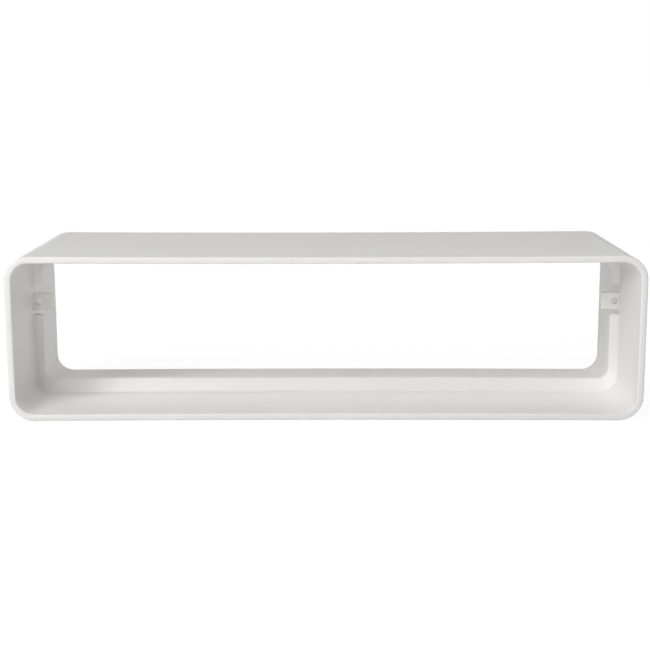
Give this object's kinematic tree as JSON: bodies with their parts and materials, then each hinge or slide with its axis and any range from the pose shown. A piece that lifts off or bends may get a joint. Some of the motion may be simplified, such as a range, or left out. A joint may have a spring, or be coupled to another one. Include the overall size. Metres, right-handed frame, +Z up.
{
  "type": "rectangular duct connector",
  "caption": "Straight moulded coupling for flat rectangular duct: an open sleeve with rounded corners, an inner stop ring at mid-length and a drilled lug on each short side wall.",
  "frame": {"origin": "centre of the bottom face, at mid-length and mid-width, on the plane that the sleeve rests on", "axes": "+X along the duct's width, the longest extent; +Y along the duct through the sleeve, from the pictured mouth to the far one; +Z up, along the duct's height, the shortest extent"},
  "size_m": [0.225, 0.075, 0.0589],
  "materials": {
    "connector_body": "satin"
  },
  "bodies": {
    "root": {"connector_body": "connector_body"}
  },
  "joints": []
}
